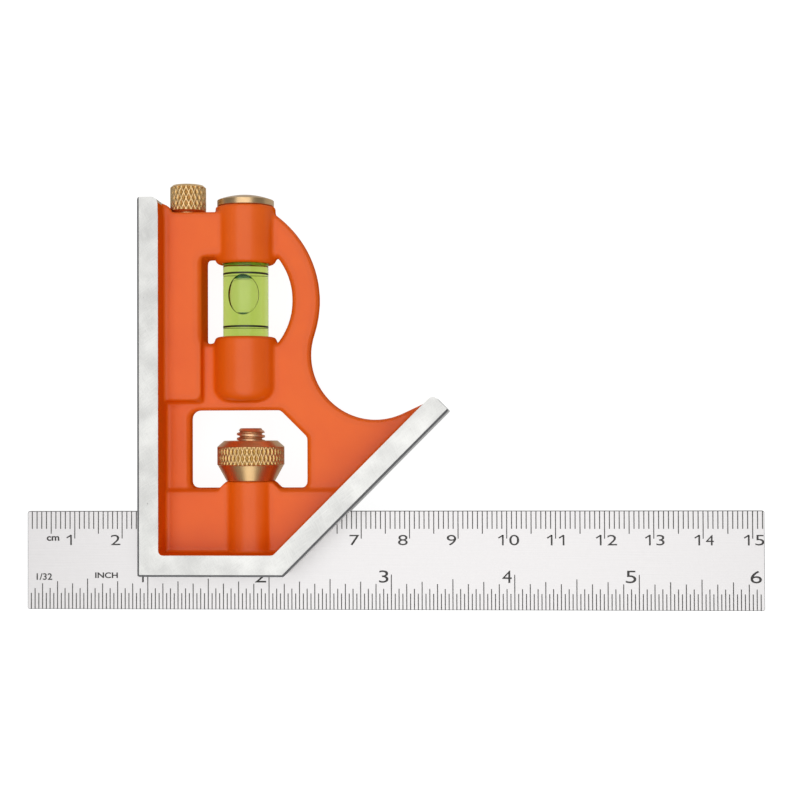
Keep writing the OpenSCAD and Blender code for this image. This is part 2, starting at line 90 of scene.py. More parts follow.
# %% [markdown]
# ## Materials
# Each finish starts from a real one. Two helpers are enough: one turns a colour as it is
# written for the screen into the linear light that Blender works in, and one adds a node
# with its settings and links. Patterns are sized in millimetres on Object coordinates.

# %% Helpers for materials
MIX_A, MIX_B, MIXED = 6, 7, 2


def linear(hex_text):
    """An sRGB colour such as "#E66E37" as linear red, green, blue and alpha."""
    parts = [int(hex_text[i:i + 2], 16) / 255 for i in (1, 3, 5)]
    return [c / 12.92 if c <= 0.04045 else ((c + 0.055) / 1.055) ** 2.4 for c in parts] + [1]


def add(tree, kind, inputs=(), **settings):
    """Adds a node. Each input is a value, or the output socket that feeds it."""
    made = tree.nodes.new("ShaderNode" + kind)
    for name, value in settings.items():
        setattr(made, name, value)
    for socket, value in dict(inputs).items():
        if isinstance(value, bpy.types.NodeSocket):
            tree.links.new(value, made.inputs[socket])
        else:
            made.inputs[socket].default_value = value
    return made


def new_material(name, **uniform):
    """A material with one Principled shader, and the numbers that are the same all over."""
    made = bpy.data.materials.new(name)
    made.use_nodes = True
    shader = made.node_tree.nodes["Principled BSDF"]
    for socket, value in uniform.items():
        shader.inputs[socket.replace("_", " ")].default_value = value
    return made, made.node_tree, shader


def per_mm(size):
    """The Scale of a texture whose features are this many millimetres across."""
    return 1 / (size * MM)


print("orange in linear light:", [round(c, 3) for c in linear("#DD590A")])

# %% [markdown]
# ### Orange enamel on the casting
# A zinc die casting sprayed with a stoved enamel. The eye gets one even orange with a plain
# sheen, a slight orange peel, and here and there a speck of dirt under the paint. Steep
# walls are sprayed at a slant, so they come out dull: the sheen fades with their slope. The
# enamel is a dielectric, so its index is 1.5 and only the colour is its own.

# %% The enamel
enamel, tree, shader = new_material("stoved_orange_enamel", Roughness=0.3, IOR=1.5)
where = add(tree, "TexCoord")
place = where.outputs["Object"]
slope = add(tree, "SeparateXYZ", {"Vector": where.outputs["Normal"]})
flat = add(tree, "Math", {0: slope.outputs["Z"]}, operation="ABSOLUTE")
sheen = add(tree, "MapRange", {"Value": flat.outputs[0], "From Min": 0.3, "From Max": 0.75,
                               "To Min": 0, "To Max": 0.36})
tree.links.new(sheen.outputs["Result"], shader.inputs["Specular IOR Level"])
cloud = add(tree, "TexNoise", {"Vector": place, "Scale": per_mm(9), "Detail": 3})
tone = add(tree, "MapRange", {"Value": cloud.outputs["Fac"], "From Min": 0.35, "From Max": 0.65})
even = add(tree, "Mix", {0: tone.outputs["Result"], MIX_A: linear("#DD590A"),
                         MIX_B: linear("#E15E0C")}, data_type="RGBA")
cell = add(tree, "TexVoronoi", {"Vector": place, "Scale": per_mm(5)})
chance = add(tree, "SeparateColor", {"Color": cell.outputs["Color"]})
size = add(tree, "MapRange", {"Value": chance.outputs["Red"], "From Min": 0.8, "To Max": 0.045})
speck = add(tree, "Math", {0: cell.outputs["Distance"], 1: size.outputs["Result"]},
            operation="LESS_THAN")
faint = add(tree, "Math", {0: speck.outputs[0], 1: 0.4}, operation="MULTIPLY")
dirt = add(tree, "Mix", {0: faint.outputs[0], MIX_A: even.outputs[MIXED],
                         MIX_B: linear("#8C3208")}, data_type="RGBA")
tree.links.new(dirt.outputs[MIXED], shader.inputs["Base Color"])
peel = add(tree, "TexNoise", {"Vector": place, "Scale": per_mm(1.1), "Detail": 2})
bump = add(tree, "Bump", {"Height": peel.outputs["Fac"], "Strength": 0.15, "Distance": 0.05 * MM})
tree.links.new(bump.outputs["Normal"], shader.inputs["Normal"])
print("enamel:", len(tree.nodes), "nodes")

# %% [markdown]
# ### Milled zinc on the rims
# The rims are milled flat after painting, which lays the grey zinc alloy bare. The cutter
# leaves slanted streaks in two directions, the casting shows a few pits, and handling gives
# soft clouds, so the eye gets a light, cloudy grey. The streaks are drawn coarser than real
# ones, so that they show at this distance.

# %% The milled zinc
LEANS = (25, -55)
STREAK_WIDE, STREAK_LONG = 0.3, 2.6
streak_size = Vector((STREAK_WIDE, STREAK_LONG, STREAK_LONG)) * MM

zinc, tree, shader = new_material("milled_zinc", Metallic=1)
place = add(tree, "TexCoord").outputs["Object"]
cuts = []
for lean in LEANS:
    along = add(tree, "Mapping", {"Vector": place, "Rotation": (0, 0, math.radians(lean)),
                                  "Scale": streak_size}, vector_type="TEXTURE")
    cuts.append(add(tree, "TexNoise", {"Vector": along.outputs[0], "Scale": 1, "Detail": 3,
                                       "Distortion": 0.8}).outputs["Fac"])
both = add(tree, "Math", {0: cuts[0], 1: cuts[1]}, operation="MAXIMUM")
cloud = add(tree, "TexNoise", {"Vector": place, "Scale": per_mm(6), "Detail": 4})
mixed = add(tree, "Math", {0: both.outputs[0], 1: 0.9, 2: cloud.outputs["Fac"]},
            operation="MULTIPLY_ADD")
tone = add(tree, "MapRange", {"Value": mixed.outputs[0], "From Min": 0.8, "From Max": 1.25})
grey = add(tree, "Mix", {0: tone.outputs["Result"], MIX_A: linear("#BDBDBB"),
                         MIX_B: linear("#DDDDDA")}, data_type="RGBA")
cell = add(tree, "TexVoronoi", {"Vector": place, "Scale": per_mm(3)})
chance = add(tree, "SeparateColor", {"Color": cell.outputs["Color"]})
size = add(tree, "MapRange", {"Value": chance.outputs["Green"], "From Min": 0.8, "To Max": 0.06})
pit = add(tree, "Math", {0: cell.outputs["Distance"], 1: size.outputs["Result"]},
          operation="LESS_THAN")
dull = add(tree, "Mix", {0: pit.outputs[0], MIX_A: grey.outputs[MIXED], MIX_B: linear("#8A8A86")},
           data_type="RGBA")
tree.links.new(dull.outputs[MIXED], shader.inputs["Base Color"])
rough = add(tree, "MapRange", {"Value": both.outputs[0], "From Min": 0.4, "From Max": 0.7,
                               "To Min": 0.34, "To Max": 0.5})
tree.links.new(rough.outputs["Result"], shader.inputs["Roughness"])
bump = add(tree, "Bump", {"Height": both.outputs[0], "Strength": 0.4, "Distance": 0.03 * MM})
tree.links.new(bump.outputs["Normal"], shader.inputs["Normal"])
print("zinc:", len(tree.nodes), "nodes")

# %% [markdown]
# ### Broken edges
# The outer edges of the rims, and those of the rule, are broken with a coarse belt. Their
# dull, dark grey is painted shade: it stands in for the dark room that these slanted strips
# mirror, and it draws the tool's outline.

# %% The belt-ground edges, darkened as painted shade
# Painted shade: this dark grey stands in for the dark room that slanted edges mirror.
edges, tree, shader = new_material("darkened_edges_painted_shade", Metallic=1, Roughness=0.55)
place = add(tree, "TexCoord").outputs["Object"]
streak = add(tree, "TexNoise", {"Vector": place, "Scale": per_mm(0.5), "Detail": 3})
grey = add(tree, "Mix", {0: streak.outputs["Fac"], MIX_A: linear("#7E7E80"),
                         MIX_B: linear("#9A9A9C")}, data_type="RGBA")
tree.links.new(grey.outputs[MIXED], shader.inputs["Base Color"])
bump = add(tree, "Bump", {"Height": streak.outputs["Fac"], "Strength": 0.3, "Distance": 0.02 * MM})
tree.links.new(bump.outputs["Normal"], shader.inputs["Normal"])
print("edges:", len(tree.nodes), "nodes")

# %% [markdown]
# ### Satin steel for the rule
# Hardened stainless strip with a satin finish, rubbed along its length. The eye gets a pale,
# soft grey with faint lines that run with the rule. The real grain is far finer than a
# pixel, so it is drawn as 0.12 mm lines that only just vary the gloss.

# %% The satin steel
satin, tree, shader = new_material("satin_stainless_steel", Metallic=1)
place = add(tree, "TexCoord").outputs["Object"]
along = add(tree, "Mapping", {"Vector": place, "Scale": (per_mm(14), per_mm(0.12), per_mm(0.5))})
grain = add(tree, "TexNoise", {"Vector": along.outputs[0], "Scale": 1, "Detail": 2})
cloud = add(tree, "TexNoise", {"Vector": place, "Scale": per_mm(3), "Detail": 4})
mixed = add(tree, "Math", {0: grain.outputs["Fac"], 1: cloud.outputs["Fac"]}, operation="ADD")
tone = add(tree, "MapRange", {"Value": mixed.outputs[0], "From Min": 0.75, "From Max": 1.25})
steel = add(tree, "Mix", {0: tone.outputs["Result"], MIX_A: linear("#D0CECE"),
                          MIX_B: linear("#D9D7D7")}, data_type="RGBA")
tree.links.new(steel.outputs[MIXED], shader.inputs["Base Color"])
rough = add(tree, "MapRange", {"Value": mixed.outputs[0], "From Min": 0.75, "From Max": 1.25,
                               "To Min": 0.4, "To Max": 0.47})
tree.links.new(rough.outputs["Result"], shader.inputs["Roughness"])
bump = add(tree, "Bump", {"Height": grain.outputs["Fac"], "Strength": 0.1, "Distance": 0.01 * MM})
tree.links.new(bump.outputs["Normal"], shader.inputs["Normal"])
print("steel:", len(tree.nodes), "nodes")

# %% [markdown]
# ### Turned brass
# The nut, the bolt, the scriber's knob and the vial's cap are turned from brass bar. The
# tool leaves fine rings round the axis, which all lie along Y here, and the grooves of
# knurl and thread keep a darker, yellower film, which draws their pattern for the eye. A
# piece carries the depth of its grooves in an attribute called groove: a piece without one
# reads nought there and stays bright.

# %% The brass
def brass(name, bright, film, rings, roughness):
    """Turned brass: its bright colour, the film in its grooves, how its rings show, and how
    rough it is where it is bright. Under the film it is rougher still."""
    made, tree, shader = new_material(name, Metallic=1)
    place = add(tree, "TexCoord").outputs["Object"]
    turned = add(tree, "Mapping", {"Vector": place, "Scale": (per_mm(6), per_mm(0.18), per_mm(6))})
    ring = add(tree, "TexNoise", {"Vector": turned.outputs[0], "Scale": 1, "Detail": 2})
    cloud = add(tree, "TexNoise", {"Vector": place, "Scale": per_mm(2), "Detail": 3})
    worn = add(tree, "Math", {0: ring.outputs["Fac"], 1: cloud.outputs["Fac"]}, operation="ADD")
    tone = add(tree, "MapRange", {"Value": worn.outputs[0], "From Min": 0.75, "From Max": 1.25,
                                  "To Min": 0.16, "To Max": 0})
    groove = add(tree, "Attribute", attribute_name="groove")
    dark = add(tree, "Math", {0: tone.outputs["Result"], 1: groove.outputs["Fac"]}, operation="ADD",
               use_clamp=True)
    colour = add(tree, "Mix", {0: dark.outputs[0], MIX_A: linear(bright), MIX_B: linear(film)},
                 data_type="RGBA")
    tree.links.new(colour.outputs[MIXED], shader.inputs["Base Color"])
    rough = add(tree, "MapRange", {"Value": dark.outputs[0], "To Min": roughness,
                                   "To Max": roughness + 0.2})
    tree.links.new(rough.outputs["Result"], shader.inputs["Roughness"])
    bump = add(tree, "Bump", {"Height": ring.outputs["Fac"], "Strength": rings,
                              "Distance": 0.02 * MM})
    tree.links.new(bump.outputs["Normal"], shader.inputs["Normal"])
    return made


nut_brass = brass("turned_brass", "#DBB885", "#CEA862", 0.25, 0.3)
knob_brass = brass("knurled_brass", "#EECB94", "#C69C5A", 0.2, 0.34)
bolt_brass = brass("thread_rolled_brass", "#F0C49A", "#D09C70", 0.2, 0.42)
cap_brass = brass("satin_brass", "#D6B78C", "#8A6A44", 0.35, 0.3)
print("brass:", nut_brass.name, knob_brass.name, bolt_brass.name, cap_brass.name)

# %% [markdown]
# ### The small finishes
# Opaque ones first, each with a slight drift between two tones, because nothing real is of
# one colour. The needle is ground steel, so the eye gets a bright grey in fine rings. The
# spring is drawn wire, a darker and plainer grey. The marks of the rule are etched and
# filled with a matt black that wears thin in places. The rings of the vial are printed in a
# greenish black that is a little glossier.

# %% The needle, the spring and the blacks
def drifting(name, size, dark, light, **uniform):
    """A material that drifts between two tones, in patches of size millimetres along X, Y, Z."""
    made, tree, shader = new_material(name, **uniform)
    place = add(tree, "TexCoord").outputs["Object"]
    sized = add(tree, "Mapping", {"Vector": place, "Scale": [per_mm(length) for length in size]})
    drift = add(tree, "TexNoise", {"Vector": sized.outputs[0], "Scale": 1, "Detail": 2})
    tone = add(tree, "Mix", {0: drift.outputs["Fac"], MIX_A: linear(dark), MIX_B: linear(light)},
               data_type="RGBA")
    tree.links.new(tone.outputs[MIXED], shader.inputs["Base Color"])
    return made


ground = drifting("ground_steel", (5, 0.15, 5), "#B4B4B2", "#CCCCCA", Metallic=1, Roughness=0.25)
wire = drifting("drawn_spring_wire", (0.4, 0.4, 0.4), "#9A9A9A", "#B8B8B8", Metallic=1,
                Roughness=0.35)
etch = drifting("etched_black_fill", (0.8, 0.8, 0.8), "#2A2928", "#3A3836", Roughness=0.6, IOR=1.5)
ring_ink = drifting("screen_printed_black_ring", (0.5, 0.5, 0.5), "#16190C", "#20240F",
                    Roughness=0.45, IOR=1.5)
print("opaque finishes:", ground.name, wire.name, etch.name, ring_ink.name)

# %% [markdown]
# The clear ones are the vial's. Acrylic and spirit are close in index, so tube and filling
# are shown as one clear body. The spirit takes its yellow-green from depth, as a dyed liquid
# does, with an absorption volume, so it is paler where the bubble leaves less of it. The dark
# green film round the bubble's ends is painted shade for the darker refraction seen there.
# The plug is plain moulded acrylic with the faintest tint.

# %% The spirit and the acrylic
spirit, tree, shader = new_material("tinted_spirit_in_acrylic", Roughness=0.03, IOR=1.34,
                                    Transmission_Weight=1, Base_Color=linear("#F2F6E0"))
dye = add(tree, "VolumeAbsorption", {"Color": linear("#D4E24A"), "Density": 240})
tree.links.new(dye.outputs[0], tree.nodes["Material Output"].inputs["Volume"])

# A dark green film at the bubble's ends: painted shade for the darker refraction there.
shade_film_finish = new_material("dark_green_film_painted_shade", Roughness=0.2, IOR=1.34,
                        Base_Color=linear("#1E7A4C"), Transmission_Weight=0.75)[0]
acrylic = new_material("clear_acrylic", Roughness=0.05, IOR=1.49,
                       Base_Color=linear("#EEF6D8"), Transmission_Weight=1)[0]
print("clear finishes:", spirit.name, shade_film_finish.name, acrylic.name)

# %% [markdown]
# ## Sizes and places
# Sizes are read off the boxes of the CAD nodes. The tool is alike above and below MID_Z, and
# scriber, vial and clamp have axes there that run along Y.

# %% Sizes from the frame
def box(node):
    """The lowest and the highest corner of a CAD node, in millimetres to the micron."""
    corners = [v.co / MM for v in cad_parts[node].data.vertices]
    return [[round(pick(corner[i] for corner in corners), 3) for i in range(3)]
            for pick in (min, max)]


HEAD_T = box("head")[1][2]
MID_Z = HEAD_T / 2
SCRIBER_X, VIAL_X, CLAMP_X = 8.7, 20.8, 21.8


def at(x, y, z=MID_Z):
    """A point given in millimetres."""
    return Vector((x, y, z)) * MM


print("axes of scriber, vial and clamp:", SCRIBER_X, VIAL_X, CLAMP_X, "at", MID_Z, "mm")

# %% [markdown]
# ## Helpers for pieces
# A piece is made as a bmesh in metres, in its own place, and then becomes an object that
# rides on a body of the frame. Edges that turn more than a given angle are marked sharp,
# so that flat faces stay flat under smooth shading.

# %% Making a piece from a bmesh
def piece(name, bm, body, *finishes, crease=30, pick=None):
    """Turns a bmesh into a shown piece that rides on a body, and counts its triangles. An
    edge is sharp if it turns more than crease degrees. With several finishes, pick tells
    which of them a face gets."""
    for face in bm.faces:
        face.smooth = True
        face.material_index = pick(face) if pick else 0
    for edge in bm.edges:
        if len(edge.link_faces) == 2 and edge.calc_face_angle(0) > math.radians(crease):
            edge.smooth = False
    mesh = bpy.data.meshes.new(name)
    triangles = sum(len(face.verts) - 2 for face in bm.faces)
    bm.to_mesh(mesh)
    bm.free()
    for finish in finishes:
        mesh.materials.append(finish)
    made = bpy.data.objects.new(name, mesh)
    bpy.context.scene.collection.objects.link(made)
    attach(made, body)
    print(name, "on", body, triangles, "triangles")
    return made


def merged_copy(node):
    """A copy of a CAD node's mesh with its loose triangles joined."""
    bm = bmesh.new()
    bm.from_mesh(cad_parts[node].data)
    bmesh.ops.remove_doubles(bm, verts=bm.verts[:], dist=0.002 * MM)
    return bm


def cut(bm, point, away):
    """Cuts everything off that lies on the away side of a plane, and closes the cut."""
    everything = bm.verts[:] + bm.edges[:] + bm.faces[:]
    result = bmesh.ops.bisect_plane(bm, geom=everything, dist=1e-8, plane_co=point,
                                    plane_no=away, clear_outer=True)
    edges = [g for g in result["geom_cut"] if isinstance(g, bmesh.types.BMEdge)]
    bmesh.ops.triangle_fill(bm, use_beauty=True, use_dissolve=False, edges=edges)


def spun(profile, x, steps=96):
    """Turns a profile of (radius, y) in millimetres about the axis along Y through x."""
    bm = bmesh.new()
    points = [bm.verts.new(at(x + radius, y)) for radius, y in profile]
    lines = [bm.edges.new(pair) for pair in zip(points, points[1:])]
    bmesh.ops.spin(bm, geom=points + lines, cent=at(x, 0), axis=(0, 1, 0), angle=math.tau,
                   steps=steps, use_merge=True)
    bmesh.ops.remove_doubles(bm, verts=bm.verts[:], dist=0.001 * MM)
    bmesh.ops.recalc_face_normals(bm, faces=bm.faces[:])
    return bm


head_copy = merged_copy("head")
print("the packed head has", len(head_copy.verts), "vertices")
head_copy.free()

# %% [markdown]
# ## The milled rims
# The rims are the only bare metal of the head: the square face, the bottom edge and the
# mitre face. The CAD head already has their bevels, corners and the slot of the rule, so
# three cuts through a copy of it give the bare frame, and the paint starts at its inner side.

# %% The three rims
RIM_W, MITRE_RIM_W, FOOT_W = 4.3, 4.5, 29.7
PAINT_LINE = 0.03  # how far the paint laps onto a rim
ON_CUT = 0.005
BEVEL_SLOPES = (0.25, 0.92)  # how far up a bevel's face may look, from 0 for a wall to 1
BARE, BEVELLED, PAINTED = 0, 1, 2
INTO_HEAD = Vector((-math.sqrt(0.5), math.sqrt(0.5), 0))

side_plane = (at(RIM_W - PAINT_LINE, 0), Vector((1, 0, 0)))
foot_plane = (at(0, RIM_W - PAINT_LINE), Vector((0, 1, 0)))
mitre_plane = (at(FOOT_W, 0) + INTO_HEAD * (MITRE_RIM_W - PAINT_LINE) * MM, INTO_HEAD)


def rim(name, keep, *drop):
    """The part of the head on the outer side of one plane, less what the others drop. Where
    the cut looks out over the casting's rounded edge it is paint; the bevels are painted shade."""
    bm = merged_copy("head")
    cut(bm, *keep)
    for point, normal in drop:
        cut(bm, point, -normal)
    bm.normal_update()

    def finish(face):
        point, normal = keep
        if abs((face.calc_center_median() - point).dot(normal)) < ON_CUT * MM:
            return PAINTED
        low, high = BEVEL_SLOPES
        return BEVELLED if low < abs(face.normal.z) < high else BARE

    return piece(name, bm, "head", zinc, edges, enamel, pick=finish)


rim("rim_of_square_face", side_plane)
rim("rim_of_foot", foot_plane, side_plane, mitre_plane)
rim("rim_of_mitre_face", mitre_plane, side_plane)

# %% [markdown]
# ## The painted casting
# Paint rounds every edge of a die casting. A voxel remesh gives the copy an even skin, and
# a few rounds of smoothing then roll its edges over. The walls are first drawn out past the
# rims' faces, and cut back after the smoothing, so that the milled edge stays crisp. The
# slot is opened a little before, because the smoothing closes it in on the rule. Bores and
# slot are machined after painting, so they are bare, as are the milled lands.

# %% Remesh, smooth and mill the casting
NEAR_FACE, DRAWN = 0.6, 2.0  # what lies this near to a rim's face is drawn out this far
VOXEL, ROUNDS = 0.32, 3
SLOT_HALF, SLOT_TOP, SLOT_EXTRA = 0.76, 12.85, 0.15  # half height, upper end, opened by
SLOT_BARE_Z, SLOT_BARE_Y = 0.25, 0.2  # how far round the slot the smoothed zinc is bare
HIDDEN = 0.07  # how deep inside the rims the casting ends
MILLED = 0.02  # how far the milled lands lie under the rims' faces
BORES = ((VIAL_X, 5.0), (SCRIBER_X, 2.4), (CLAMP_X, 3.3))  # axis, and a radius past the wall
TOWARDS_AXIS = 0.8  # how squarely a bore's wall faces its axis, where 1 is fully

bm = merged_copy("head")
for v in bm.verts:
    z = v.co.z / MM
    if not NEAR_FACE <= z <= HEAD_T - NEAR_FACE:
        v.co.z += math.copysign(DRAWN, z - MID_Z) * MM
    elif abs(z - MID_Z) < SLOT_HALF and v.co.y / MM < SLOT_TOP:
        v.co.z += math.copysign(SLOT_EXTRA, z - MID_Z) * MM
drawn_out = bpy.data.meshes.new("drawn_out")
bm.to_mesh(drawn_out)
bm.free()
blank = bpy.data.objects.new("blank", drawn_out)
bpy.context.scene.collection.objects.link(blank)
skin = blank.modifiers.new("skin", "REMESH")
skin.mode = "VOXEL"
skin.voxel_size = VOXEL * MM
skin.adaptivity = 0
evaluated = blank.evaluated_get(bpy.context.evaluated_depsgraph_get())
remeshed = bpy.data.meshes.new_from_object(evaluated)
bpy.data.objects.remove(blank)

bm = bmesh.new()
bm.from_mesh(remeshed)
print("casting remeshed:", len(bm.verts), "vertices")
for _ in range(ROUNDS):
    bmesh.ops.smooth_vert(bm, verts=bm.verts[:], factor=0.5, use_axis_x=True, use_axis_y=True,
                          use_axis_z=True)
cut(bm, at(0, 0, HEAD_T - MILLED), Vector((0, 0, 1)))
cut(bm, at(0, 0, MILLED), Vector((0, 0, -1)))
for point, normal in (side_plane, foot_plane, mitre_plane):
    cut(bm, point - normal * HIDDEN * MM, -normal)
bm.normal_update()


def is_bare(face):
    """Tells the milled faces, the slot and the walls of the bores from what is painted."""
    x, y, z = face.calc_center_median() / MM
    milled = not 2 * MILLED < z < HEAD_T - 2 * MILLED
    if milled or abs(z - MID_Z) < SLOT_HALF + SLOT_BARE_Z and y < SLOT_TOP + SLOT_BARE_Y:
        return True
    for axis, radius in BORES:
        inwards = Vector((axis - x, 0, MID_Z - z))
        if inwards.length < radius and face.normal.dot(inwards) > TOWARDS_AXIS * inwards.length:
            return True
    return False


casting = piece("painted_casting", bm, "head", enamel, zinc, crease=60,
                pick=lambda face: int(is_bare(face)))
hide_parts("head")

# %% [markdown]
# ## The rule
# The strip of the rule is sheared, hardened and ground, and its outer edges are broken so
# that they don't cut. A bevel on a copy of the CAD node gives those broken edges, and their
# dark finish, a painted shade, draws a thin dark outline. The edges of the groove at the back
# stay sharp, because their walls face the middle. The corners of the copy are moved out
# first, to the tighter radius that the real rule has.

# %% The strip
(RULE_LEFT, RULE_FOOT, _), (RULE_RIGHT, RULE_TOP, RULE_FACE) = box("rule")
EDGE_BREAK = 0.11
CAD_CORNER, CORNER = 0.8, 0.4
BREAK_SLOPES = (0.3, 0.9)  # how far up a broken edge may look, from 0 for a wall to 1

bm = merged_copy("rule")
for v in bm.verts:
    x, y, z = v.co / MM
    end_sign, end = (-1, RULE_LEFT) if x < (RULE_LEFT + RULE_RIGHT) / 2 else (1, RULE_RIGHT)
    edge_sign, edge = (-1, RULE_FOOT) if y < 0 else (1, RULE_TOP)
    turn = Vector((x - end + end_sign * CAD_CORNER, y - edge + edge_sign * CAD_CORNER)) / CAD_CORNER
    if min(turn.x * end_sign, turn.y * edge_sign) > -0.001:
        v.co = at(end + (turn.x - end_sign) * CORNER, edge + (turn.y - edge_sign) * CORNER, z)
bm.normal_update()
middle = sum((v.co for v in bm.verts), Vector()) / len(bm.verts)


def is_outer_wall(face):
    """Tells an upright face that looks away from the middle of the rule."""
    return abs(face.normal.z) < 0.1 and face.normal.dot(face.calc_center_median() - middle) > 0


outline = [edge for edge in bm.edges if edge.calc_face_angle(0) > math.radians(60)
           and any(is_outer_wall(face) for face in edge.link_faces)]
bmesh.ops.bevel(bm, geom=outline, offset=EDGE_BREAK * MM, offset_type="OFFSET", segments=1,
                profile=0.5, affect="EDGES", material=-1)
bm.normal_update()
strip = piece("rule_strip", bm, "blade", satin, edges,
              pick=lambda face: int(BREAK_SLOPES[0] < abs(face.normal.z) < BREAK_SLOPES[1]))
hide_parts("rule")

# %% [markdown]
# ### The scale
# The rule is etched and filled with black: millimetres along the top edge and
# thirty-seconds of an inch along the bottom edge, both counted from its left end. Each mark
# is a thin bar that stands a hair proud, because a mark in the surface would need a cut in
# the strip.

# %% Marks
PROUD = 0.012
LINE_W = 0.2
INCH, PER_INCH = 25.4, 32
MM_LENGTHS = ((10, 5.7), (5, 4.7), (1, 3.7))  # every n-th mark, and its length
INCH_LENGTHS = ((32, 7.3), (16, 6.35), (8, 5.8), (4, 5.35), (2, 4.35), (1, 3.36))


def bar(bm, x, y_low, y_high, width=LINE_W, lean=0):
    """One mark on the face of the rule, upright or leaning over by some degrees."""
    middle = Matrix.Translation(at(x, (y_low + y_high) / 2, RULE_FACE))
    turned = Matrix.Rotation(math.radians(lean), 4, "Z")
    size = Vector((width, y_high - y_low, 2 * PROUD)) * MM
    bmesh.ops.create_cube(bm, size=1, matrix=middle @ turned @ Matrix.Diagonal(size).to_4x4())


def row_of_marks(name, count, step, lengths, edge, inwards):
    """A scale from one edge of the rule inwards, which is 1 for up and -1 for down."""
    bm = bmesh.new()
    for i in range(1, count + 1):
        length = next(length for every, length in lengths if i % every == 0)
        bar(bm, RULE_LEFT + i * step, *sorted((edge, edge + inwards * length)))
    piece(name, bm, "blade", etch)


RULE_LONG = RULE_RIGHT - RULE_LEFT
CENTIMETRES, INCHES = math.floor(RULE_LONG / 10), round(RULE_LONG / INCH)
row_of_marks("marks_millimetres", math.floor(RULE_LONG), 1, MM_LENGTHS, RULE_TOP, -1)
row_of_marks("marks_inches", INCHES * PER_INCH - 1, INCH / PER_INCH, INCH_LENGTHS, RULE_FOOT, 1)

# %% [markdown]
# ### Lettering
# The numbers are plain lettering. Blender's own font stands in for the engraver's, stretched
# sideways and scaled by its height. A text could also be bent into place with a modifier,
# but a mesh made from it is simpler to put down where it belongs. The engraver's one has a
# flag, which the font's hasn't, so it is two bars, and the font's four is wide enough
# already.

# %% Making digits and words
WIDE, WIDE_FOUR = 1.5, 1.15
STEM_W, STEM_FROM_RIGHT, STEM_FROM_LEFT = 0.36, 0.42, 1.1
FLAG_W, FLAG_LONG, FLAG_LEAN = 0.28, 1.1, -58
FLAG_OUT, FLAG_UP = 0.45, 0.83  # left of the stem in mm, and up as a share of its height


def lettering(bm, text, height, x, baseline, side, wide, bold=0):
    """Adds a text of a given height. side says which edge of it stands at x."""
    curve = bpy.data.curves.new("lettering", "FONT")
    curve.body = text
    curve.extrude = PROUD
    curve.size = 1
    curve.offset = bold
    writer = bpy.data.objects.new("lettering", curve)
    bpy.context.scene.collection.objects.link(writer)
    bpy.context.view_layer.update()
    evaluated = writer.evaluated_get(bpy.context.evaluated_depsgraph_get())
    mesh = bpy.data.meshes.new_from_object(evaluated)
    bpy.data.objects.remove(writer)
    xs = [v.co.x for v in mesh.vertices]
    ys = [v.co.y for v in mesh.vertices]
    scale = height / (max(ys) - min(ys))
    start = min(xs) if side == "left" else max(xs)
    for v in mesh.vertices:
        v.co = at(x + (v.co.x - start) * scale * wide, baseline + (v.co.y - min(ys)) * scale,
                  RULE_FACE + v.co.z)
    bm.from_mesh(mesh)
    bpy.data.meshes.remove(mesh)


def digit(bm, figure, height, x, baseline, side):
    """Adds one digit, with its left or right side at x."""
    if figure != "1":
        wide = WIDE_FOUR if figure == "4" else WIDE
        lettering(bm, figure, height, x, baseline, side, wide)
        return
    stem = x - STEM_FROM_RIGHT if side == "right" else x + STEM_FROM_LEFT
    bar(bm, stem, baseline, baseline + height, STEM_W)
    flag = baseline + height * FLAG_UP
    bar(bm, stem - FLAG_OUT, flag - FLAG_LONG / 2, flag + FLAG_LONG / 2, FLAG_W, FLAG_LEAN)


def lettered(name, bm):
    """Joins the doubled points that the lettering leaves, and makes the piece."""
    bmesh.ops.remove_doubles(bm, verts=bm.verts[:], dist=0.0005 * MM)
    piece(name, bm, "blade", etch)


print("digits are stretched", WIDE, "times, the four", WIDE_FOUR, "times")

# %% [markdown]
# ### Numbers and labels
# A number stands before its mark. From ten on, its two digits stand on both sides of it.
# The labels are smaller and bolder, and only say which unit the scale beside them has.

# %% Numbers and labels
CM_HEIGHT, CM_BASE, INCH_HEIGHT, INCH_BASE = 2.15, 5.72, 2.55, -2.0
BEFORE, BEHIND, BEFORE_INCH = 0.38, 0.52, 0.6
LABELS = (("cm", 1.0, -21.15, 6.6, 1.2, 0.028), ("1/32", 1.4, -23.3, -1.55, 1.1, 0.018),
          ("INCH", 1.2, -10.9, -1.15, 1.27, 0.026))

bm = bmesh.new()
for i in range(1, CENTIMETRES + 1):
    mark = RULE_LEFT + 10 * i
    first, *rest = str(i)
    digit(bm, first, CM_HEIGHT, mark - BEFORE, CM_BASE, "right")
    for second in rest:
        digit(bm, second, CM_HEIGHT, mark + BEHIND, CM_BASE, "left")
lettered("numbers_centimetres", bm)

bm = bmesh.new()
for i in range(1, INCHES + 1):
    digit(bm, str(i), INCH_HEIGHT, RULE_LEFT + INCH * i - BEFORE_INCH, INCH_BASE, "right")
lettered("numbers_inches", bm)

bm = bmesh.new()
for label, height, x, baseline, wide, bold in LABELS:
    lettering(bm, label, height, x, baseline, "left", wide, bold)
lettered("unit_labels", bm)

# %% [markdown]
# ## Knurls
# A diamond knurl is rolled: the wheels press pits and leave two sets of steep ridges that
# cross. A bump in the material would leave the outline smooth, so a fine spun band gives
# points enough, and each point moves inwards by how far it is from both ridges. On a scale
# from 0 at the middle of a pit to 1 on the crest of a ridge, the crest is flat from LAND up
# and the flank is FLANK wide. The groove attribute keeps the depth for the film.

# %% Rolling a knurl
LAND, FLANK = 0.82, 0.5
RUN_OUT = 0.15  # how far from its two ends the knurl has its full depth


